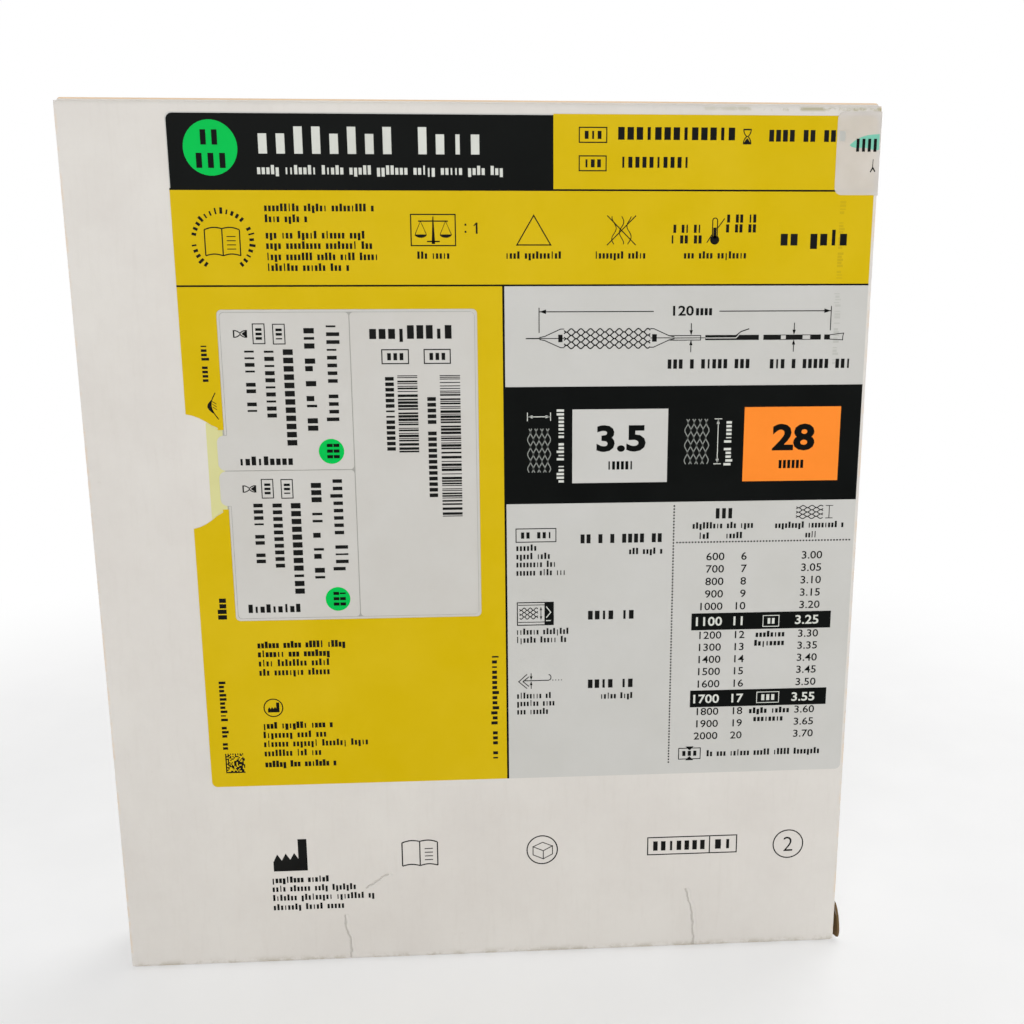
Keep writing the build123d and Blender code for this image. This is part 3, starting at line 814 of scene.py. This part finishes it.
def chartPrint(piece, down, seed):
    # the same small sticker twice, one below the other, its lines reading down the panel
    pen = (piece, "fineBlack", *onSticker)
    wordMarks(pen, 36.2, 50.1 + down, 25.4, 3.3, turned=1, bold=-0.5, words=(8, 4), tall=0.34)
    wordMarks(pen, 30.6, 51.2 + down, 26.5, 2.6, turned=1, bold=0.6, words=(3, 2, 1, 2, 2), tall=0.6)
    wordMarks(pen, 25.2, 56.4 + down, 25.1, 2.5, turned=1, bold=0.5, words=(12,), tall=1)
    wordMarks(pen, 20.5, 56.4 + down, 17.9, 2.4, turned=1, bold=0.0, words=(10,), tall=1)
    wordMarks(pen, 15.6, 56.4 + down, 16.6, 2.4, turned=1, bold=0.0, words=(4, 2, 2), tall=1)
    for box in ((23.0, 50.4 + down, 25.9, 55.3 + down), (18.0, 50.3 + down, 20.9, 55.2 + down)):
        boxWithMarks(pen, box, words=(3,), height=1.55, width=0.24, turned=1)
    hourglass(pen, (13.1, 51.8 + down, 16.6, 53.7 + down), lying=True)
    disc((piece, "green", *onSticker), 36.3, 82.7 + down, 3.25)
    for side in (-0.2, 1.5):
        wordMarks((piece, "black", onSticker[1] - 0.01, 0.20), 36.3 + side - 0.95, 80.5 + down, 4.4, 1.5,
            turned=1, bold=0.0, words=(3,), tall=1)
    wordMarks(pen, 12.6, 86.1 + down, 14.0, 2.3, bold=0.7, tall=0.4, words=(9,), seed=seed)
    finishPiece(piece)


recordPrint()
chartPrint("chartPrintUpper", 0.0, 1)
chartPrint("chartPrintLower", 39.5, 2)


def wrapPrint():
    # a teal swash with blocks on it, and a small arrow
    piece = "wrapPrint"
    pen = (piece, "fineBlack", *onWrap)
    t = np.linspace(0, 1, 17)
    upper = columns(168.1 + 7.5 * t, 4.6 + 2.3 * (1 - t) ** 3 - 0.3 * t)
    lower = columns(168.1 + 7.5 * t, 7.0 + 1.0 * np.sqrt(t) + 0.15 * np.sin(9 * t))
    ribbon((piece, "teal", *onWrap), upper, lower)
    wordMarks((piece, "fineBlack", onWrap[1] - 0.01, 0.22), 169.5, 8.5, 5.9, 3.1, words=(4,), bold=-0.3,
        tall=1)
    stroke(pen, [(174.3, 10.3), (174.2, 12.8)], 0.16)
    stroke(pen, [(173.7, 13.4), (174.3, 12.3), (174.9, 13.3)], 0.3)
    rects((piece, "ghostWhite", 0.17, 0.195), [[165.4, 3.6, 166.9, 6.0]])
    finishPiece(piece)


wrapPrint()

# Print on the carton's board, under the label

foot = {
    "lines": [(14.4, 204.6, 16.0, 0.9), (14.4, 207.3, 23.5, 0.2), (14.4, 210.1, 28.6, 0.2),
        (14.4, 213.0, 20.0, 0.2)],
    "ringA": (90.4, 197.1, 4.3), "ringB": (161.1, 197.8, 4.3), "double": (120.5, 194.5, 146.1, 199.8),
    "divider": 138.3,
}


def cartonPrint():
    # symbols and lines of print along the foot of the front panel
    pen = ("cartonPrint", "fineBlack", *onBoard)
    factory(pen, (15.2, 191.4, 24.6, 201.0))
    for number, (u, v, length, bold) in enumerate(foot["lines"]):
        wordMarks(pen, u, v, length, 1.9, bold=bold, seed=90 + number)
    openBook(pen, (51.0, 192.9, 60.9, 200.7), width=0.34)
    pageLines(pen, (57.3, 195.4, 59.6, 198.8), rows=4, width=0.26)
    u, v, r = foot["ringA"]
    stroke(pen, circle(u, v, r, 48), 0.34, closed=True)
    # a box seen from a corner, inside the ring
    for path in ([(-2.6, -0.6), (0.3, 0.7), (0.3, 3.2), (-2.6, 1.9)], [(0.3, 0.7), (2.9, -0.7), (2.9, 1.8),
            (0.3, 3.2)], [(-2.6, -0.6), (0.1, -1.9), (2.9, -0.7), (0.3, 0.7)]):
        stroke(pen, np.array(path) + (u, v - 0.4), 0.24, closed=True)
    u, v, r = foot["ringB"]
    stroke(pen, circle(u, v, r, 48), 0.34, closed=True)
    numberMarks(pen, "2", u, v + 2.3, 4.6, bold=-0.01)
    u0, v0, u1, v1 = foot["double"]
    frameLine(pen, u0, v0, u1, v1, 0.32)
    d = foot["divider"]
    rects(pen, [[d - 0.16, v0, d + 0.16, v1]])
    wordMarks(pen, u0 + 1.2, v1 - 1.2, d - u0 - 2.0, 2.9, words=(7,), bold=0.0, tall=1)
    wordMarks(pen, d + 1.2, v1 - 1.2, u1 - d - 2.2, 2.9, words=(2,), bold=0.1, tall=1, seed=2)
    finishPiece("cartonPrint")


cartonPrint()
print("sticker and carton print done")

# The carton's board and the papers, given to the CAD nodes

board = {
    "white": "#DDD9D3", "cloud": "#D6D1CB", "shadow": "#C7C1B8", "kraft": "#6B5538",
    "tan": "#E2C6A6", "wear": 0.65, "grain": 0.13, "rub": 0.34,
    # the two crease colours are painted shade in the groove and a painted highlight on the ridge beside it
    "footDarkening": "#A9A291", "olive": "#A19A6E", "grooveAndShade": "#AFA9A1", "ridgeAndHighlight": "#E9E6E1",
    "creases": [
        ((-39.2, 13.3), (-37.8, 5.3)), ((-37.8, 5.3), (-37.7, 0.6)), ((-33.0, 21.6), (-26.9, 25.6)),
        ((54.3, 18.0), (56.2, 11.4)), ((56.2, 11.4), (57.0, 0.2)),
    ],
}


times, minus, least, most, absolute = [
    {"operation": name} for name in ("MULTIPLY", "SUBTRACT", "MINIMUM", "MAXIMUM", "ABSOLUTE")
]
colourMix = {"data_type": "RGBA"}


def fade(tree, value, start, end):
    # 1 up to start, smoothly 0 from end on
    step = {"interpolation_type": "SMOOTHSTEP", "From Min": start, "From Max": end, "To Min": 1.0,
        "To Max": 0.0}
    return addNode(tree, "MapRange", step, {"Value": value})


def inBox(tree, axes, low, high, soft):
    # 1 inside a box given in mm, None for an axis left free
    share = None
    for axis, a, b in zip(axes, low, high):
        if a is None:
            continue
        away = addNode(tree, "Math", absolute, (addNode(tree, "Math", minus, (axis, (a + b) / 2 * mm)),))
        part = fade(tree, away, (b - a) / 2 * mm, ((b - a) / 2 + soft) * mm)
        share = part if share is None else addNode(tree, "Math", times, (share, part))
    return share


def nearSegment(tree, flat, a, b, width):
    # 1 on the line from a to b (x, z in mm), 0 from width mm away on; flat is the position with y = 0
    start = Vector((a[0], 0, a[1])) * mm
    along = Vector((b[0] - a[0], 0, b[1] - a[1])) * mm
    away = addNode(tree, "VectorMath", minus, (flat, start))
    dot = addNode(tree, "VectorMath", {"operation": "DOT_PRODUCT"}, (away, along), "Value")
    share = addNode(tree, "MapRange", {"From Max": along.length_squared}, {"Value": dot})
    step = addNode(tree, "VectorMath", {"operation": "SCALE"}, {0: along, "Scale": share})
    gap = addNode(tree, "VectorMath", {"operation": "DISTANCE"}, (away, step), "Value")
    return fade(tree, gap, 0.0, width * mm)


def tinted(tree, tone, colour, *shares):
    # the colour laid over the tone by the product of the shares
    share = shares[0]
    for factor in shares[1:]:
        share = addNode(tree, "Math", times, (share, factor))
    return addNode(tree, "Mix", colourMix, {0: share, 6: tone, 7: colour}, 2)


def boardMaterial():
    # clay-coated white folding board: soft clouding, rubbed folds, brown board at the torn corner, fine
    # creases with painted shade in their grooves and a painted highlight on their ridges
    material, tree, shader = newMaterial("clayCoatedBoard", 0.42, 0.12)
    place = addNode(tree, "TexCoord", output="Object")
    axes = addNode(tree, "SeparateXYZ", {}, {"Vector": place}).node.outputs
    noise = lambda scale, detail, roughness, vector: addNode(
        tree, "TexNoise", {"Scale": scale, "Detail": detail, "Roughness": roughness}, {"Vector": vector})
    patches = lambda source, low, high: addNode(
        tree, "ValToRGB", {"stops": [(low, "#000000"), (high, "#FFFFFF")]}, {"Fac": source})
    cloud = noise(34.0, 8.0, 0.70, place)
    fine = noise(900.0, 4.0, 0.65, place)
    scuff = noise(160.0, 7.0, 0.75, place)
    stops = [(0.30, board["cloud"]), (0.62, board["white"])]
    tone = addNode(tree, "ValToRGB", {"stops": stops}, {"Fac": cloud})
    # grey rub marks, few and faint
    tone = tinted(tree, tone, board["shadow"], patches(scuff, 0.64, 0.74), board["rub"])
    # the paper's upright grain, drawn coarser than it is so that it shows
    stretched = addNode(tree, "Mapping", {"Scale": (1.0, 1.0, 0.12)}, {"Vector": place})
    grain = noise(620.0, 5.0, 0.7, stretched)
    tone = tinted(tree, tone, board["shadow"], patches(grain, 0.52, 0.72), board["grain"])
    # rubbed folds along the four upright corners and round the top and foot
    sideways = addNode(tree, "Math", minus, (panel["right"] * mm, addNode(tree, "Math", absolute,
        (axes[0],))))
    deep = addNode(tree, "Math", minus, (panel["back"] * mm, addNode(tree, "Math", absolute, (axes[1],))))
    below = addNode(tree, "Math", minus, (panel["top"] * mm, axes[2]))
    upright = addNode(tree, "Math", most, (sideways, deep))
    level = addNode(tree, "Math", most, (
        addNode(tree, "Math", least, (axes[2], below)), addNode(tree, "Math", least, (sideways, deep))))
    edge = addNode(tree, "Math", least, (upright, level))
    worn = fade(tree, edge, 0.1 * mm, 1.1 * mm)
    tone = tinted(tree, tone, board["tan"], worn, patches(scuff, 0.47, 0.60), board["wear"])
    # the raw front edge of the top panel
    tone = tinted(tree, tone, board["tan"], inBox(tree, axes, (None, -10.2, 223.2), (None, -10.0, 223.46),
        0.06))
    # olive rubbing along the top fold near the right, and darker blotches along the foot
    height = addNode(tree, "Math", absolute, (addNode(tree, "Math", minus, (axes[2], 221.9 * mm)),))
    leftward = addNode(tree, "Math", times, (axes[0], -1.0))
    blotch = patches(scuff, 0.46, 0.56)
    tone = tinted(
        tree, tone, board["olive"], fade(tree, height, 0.1 * mm, 0.75 * mm),
        fade(tree, leftward, -85 * mm, -35 * mm), fade(tree, axes[1], -9.5 * mm, -9.0 * mm), blotch, 0.7)
    # darker in blotches within the lowest few mm of the carton
    tone = tinted(tree, tone, board["footDarkening"], fade(tree, axes[2], 0.2 * mm, 2.6 * mm), blotch, 0.6)
    # brown board on the torn edge of the sprung corner, where it doesn't face the front
    normal = addNode(tree, "NewGeometry", output="Normal")
    facing = addNode(tree, "SeparateXYZ", {}, {"Vector": normal}, "Y")
    torn = inBox(tree, axes, (97.2, None, -1.0), (99.5, None, 12.5), 0.15)
    tone = tinted(tree, tone, board["kraft"], torn, fade(tree, facing, -0.3, -0.1))
    # creases: a wandering fine groove with a ridge beside it, in the bump, with painted shade in the groove
    # and a painted highlight on the ridge
    wander = addNode(
        tree, "TexNoise", {"Scale": 260.0, "Detail": 5.0, "Roughness": 0.6}, {"Vector": place}, "Color")
    shaken = addNode(tree, "VectorMath", {"operation": "MULTIPLY_ADD"}, (wander, (2.2 * mm, 0, 2.2 * mm),
        place))
    flat = addNode(tree, "VectorMath", times, (shaken, (1, 0, 1)))
    grooveAndShade = ridgeAndHighlight = 0.0
    for a, b in board["creases"]:
        a, b = [(x + 1.1, z + 1.1) for x, z in (a, b)]  # the noise pulls the line back by half its reach
        mark = nearSegment(tree, flat, a, b, 0.36)
        beside = nearSegment(tree, flat, (a[0] + 0.6, a[1]), (b[0] + 0.6, b[1]), 0.7)
        grooveAndShade = addNode(tree, "Math", most, (grooveAndShade, mark))
        ridgeAndHighlight = addNode(tree, "Math", most, (ridgeAndHighlight, beside))
    front = fade(tree, axes[1], -10.9 * mm, -10.5 * mm)
    grooveAndShade = addNode(tree, "Math", times, (grooveAndShade, front))
    ridgeAndHighlight = addNode(tree, "Math", times, (ridgeAndHighlight, front))
    # painted shade darkens the crease groove, and a painted highlight lightens the ridge beside it
    tone = tinted(tree, tone, board["grooveAndShade"], grooveAndShade, 0.5)
    tone = tinted(tree, tone, board["ridgeAndHighlight"], addNode(tree, "Math", minus, (ridgeAndHighlight, grooveAndShade)), 0.25)
    tree.links.new(tone, shader.inputs["Base Color"])
    raised = addNode(tree, "Math", {"operation": "MULTIPLY_ADD"}, (fine, 0.14, ridgeAndHighlight))
    relief = addNode(tree, "Math", minus, (raised, addNode(tree, "Math", times, (grooveAndShade, 1.5))))
    bump = addNode(tree, "Bump", {"Strength": 0.6, "Distance": 0.25 * mm}, {"Height": relief})
    tree.links.new(bump, shader.inputs["Normal"])
    rough = addNode(tree, "MapRange", {"To Min": 0.36, "To Max": 0.52}, {"Value": cloud})
    tree.links.new(rough, shader.inputs["Roughness"])
    return material


def filmMaterial():
    # clear glossy film with a milky cast
    material, tree, shader = newMaterial("clearWrapFilm", 0.16, 0.5)
    place = addNode(tree, "TexCoord", output="Object")
    cloud = addNode(tree, "TexNoise", {"Scale": 90.0, "Detail": 4.0}, {"Vector": place})
    tone = addNode(tree, "ValToRGB", {"stops": [(0.3, "#D4CEC7"), (0.7, "#DBD5CE")]}, {"Fac": cloud})
    tree.links.new(tone, shader.inputs["Base Color"])
    haze = {"From Min": 0.3, "From Max": 0.7, "To Min": 0.72, "To Max": 0.82}
    tree.links.new(addNode(tree, "MapRange", haze, {"Value": cloud}), shader.inputs["Alpha"])
    return material


def linerMaterial():
    # pale yellow release paper where it is bare, in shade where only a cut between two stickers shows it
    material, tree, shader = newMaterial("siliconeReleaseLiner", 0.34, 0.15)
    place = addNode(tree, "TexCoord", output="Object")
    cloud = addNode(tree, "TexNoise", {"Scale": 70.0, "Detail": 5.0}, {"Vector": place})
    bare = addNode(tree, "ValToRGB", {"stops": [(0.3, "#DAD79C"), (0.7, "#D2CF92")]}, {"Fac": cloud})
    across = addNode(tree, "SeparateXYZ", {}, {"Vector": place}, "X")
    share = fade(tree, across, -63.6 * mm, -63.2 * mm)
    tone = addNode(tree, "Mix", colourMix, {0: share, 6: "#A5A49E", 7: bare}, 2)
    tree.links.new(tone, shader.inputs["Base Color"])
    return material


boardFinish, linerFinish, filmFinish = boardMaterial(), linerMaterial(), filmMaterial()
stickerParts = ("record_sticker", "chart_sticker_upper", "chart_sticker_lower")
finishes = {
    "carton": (boardFinish, "board"), "main_label": (inks["white"], "label_paper"),
    "sticker_liner": (linerFinish, "liner_paper"), "wrap_sticker": (filmFinish, "wrap_film"),
    **{name: (inks["sticker"], "sticker_paper") for name in stickerParts},
    "sticker_surround": (inks["sticker"], "label_paper"),
}
for name, (material, slotName) in finishes.items():
    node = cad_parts[name]
    node.data.materials.clear()
    node.data.materials.append(material)
print("node materials done")

# Floor, light and camera

studio = {"floorHalf": 3.0, "near": 0.18, "far": 0.46, "shadow": 0.62, "worldFill": 0.30, "key": 7.7,
    "fill": 3.9, "top": 3.6, "back": 11.0}


def seenRay(tree):
    # 1 for a camera, gloss or glass ray, 0 where the surface only lights the object
    path = addNode(tree, "LightPath").node.outputs
    shine = addNode(tree, "Math", most, (path["Is Glossy Ray"], path["Is Transmission Ray"]))
    return addNode(tree, "Math", most, (path["Is Camera Ray"], shine))


def makeFloor():
    # white to the camera, with the object's shadow kept near it
    half = studio["floorHalf"]
    mesh = bpy.data.meshes.new("floor")
    mesh.from_pydata([(-half, -half, 0), (half, -half, 0), (half, half, 0), (-half, half, 0)], [],
        [(0, 1, 2, 3)])
    floor = bpy.data.objects.new("floor", mesh)
    floor.location.z = -0.0002
    bpy.context.collection.objects.link(floor)
    material, tree, shader = newMaterial("paleStudioFloor", 0.85, 0.1)
    place = addNode(tree, "TexCoord", output="Object")
    grain = addNode(tree, "TexNoise", {"Scale": 30.0, "Detail": 4.0}, {"Vector": place})
    tone = addNode(tree, "ValToRGB", {"stops": [(0.3, "#FAFAFA"), (0.7, "#FFFFFF")]}, {"Fac": grain})
    tree.links.new(tone, shader.inputs["Base Color"])
    away = addNode(tree, "VectorMath", {"operation": "LENGTH"}, (place,), "Value")
    near = fade(tree, away, studio["near"], studio["far"])
    kept = addNode(tree, "Math", minus, (1.0, addNode(tree, "Math", times, (near, studio["shadow"]))))
    share = addNode(tree, "Math", times, (seenRay(tree), kept))
    white = addNode(tree, "Emission", {"Color": (1, 1, 1, 1), "Strength": 1.0})
    mixed = addNode(tree, "MixShader", {}, (share, shader.outputs[0], white))
    tree.links.new(mixed, tree.nodes["Material Output"].inputs["Surface"])
    mesh.materials.append(material)


def makeLamp(name, place, target, size, power):
    # a round soft lamp aimed at a point
    data = bpy.data.lights.new(name, "AREA")
    data.shape = "DISK"
    data.size = size
    data.energy = power
    lamp = bpy.data.objects.new(name, data)
    lamp.location = place
    lamp.rotation_euler = (Vector(target) - Vector(place)).to_track_quat("-Z", "Y").to_euler()
    bpy.context.collection.objects.link(lamp)


def makeWorld():
    # plain white: full strength to the camera, a low fill to the object
    world = bpy.data.worlds.new("studio")
    world.use_nodes = True
    bpy.context.scene.world = world
    tree = world.node_tree
    background = tree.nodes["Background"]
    background.inputs["Color"].default_value = (1, 1, 1, 1)
    level = addNode(tree, "MapRange", {"To Min": studio["worldFill"], "To Max": 1.0},
        {"Value": seenRay(tree)})
    tree.links.new(level, background.inputs["Strength"])


makeFloor()
makeWorld()
makeLamp("keyLamp", (-0.30, -1.25, 0.62), (0, 0, 0.09), 1.0, studio["key"])
makeLamp("fillLamp", (0.90, -1.10, 0.45), (0, 0, 0.09), 1.0, studio["fill"])
makeLamp("topLamp", (0.0, 0.35, 1.3), (0, 0, 0.1), 1.0, studio["top"])
makeLamp("backLamp", (0.95, 1.05, 0.70), (0, 0, 0.11), 1.4, studio["back"])

# Camera, solved from the label's four corners in the photograph
shot = {"place": (0.0, -255.49, 174.43), "yaw": 3.184, "pitch": -11.022, "roll": -0.232, "lens": 34.63,
    "shift": (-0.0239, -0.0070)}
yaw, pitch, roll = (math.radians(shot[key]) for key in ("yaw", "pitch", "roll"))
forward = Vector((math.sin(yaw) * math.cos(pitch), math.cos(yaw) * math.cos(pitch), math.sin(pitch)))
levelRight = Vector((math.cos(yaw), -math.sin(yaw), 0))
levelUp = levelRight.cross(forward)
right = math.cos(roll) * levelRight + math.sin(roll) * levelUp
up = -math.sin(roll) * levelRight + math.cos(roll) * levelUp
lens = bpy.data.cameras.new("camera")
lens.lens, lens.sensor_width = shot["lens"], 36.0
lens.shift_x, lens.shift_y = shot["shift"]
lens.clip_start, lens.clip_end = 0.01, 50
camera = bpy.data.objects.new("camera", lens)
turn = Matrix((right, up, -forward)).transposed()
camera.matrix_world = Matrix.Translation(Vector(shot["place"]) * mm) @ turn.to_4x4()
bpy.context.collection.objects.link(camera)
bpy.context.scene.camera = camera
bpy.context.scene.view_settings.view_transform = "Standard"
print("studio done")
